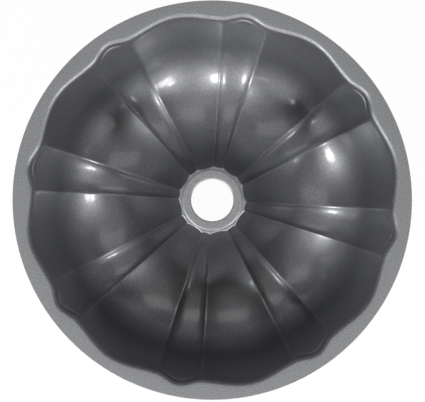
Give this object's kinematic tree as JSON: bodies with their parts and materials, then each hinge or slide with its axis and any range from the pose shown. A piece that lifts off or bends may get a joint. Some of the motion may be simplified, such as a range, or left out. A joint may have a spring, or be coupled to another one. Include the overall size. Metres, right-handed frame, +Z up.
{
  "type": "fluted tube pan",
  "caption": "Fluted ring cake pan with wide lobes, narrow petals, a flat rim flange and an open centre tube.",
  "frame": {"origin": "on the tube's axis, at the level that the pan stands on", "axes": "+Z up along the tube's axis, +X through the middle of a petal"},
  "size_m": [0.26, 0.26, 0.086],
  "materials": {
    "shell_coat": "satin charcoal non-stick coat on steel sheet, inside and out",
    "collar_coat": "satin charcoal non-stick coat on a steel ring"
  },
  "bodies": {
    "root": {"fluted_shell": "shell_coat", "tube_collar": "collar_coat"}
  },
  "joints": []
}
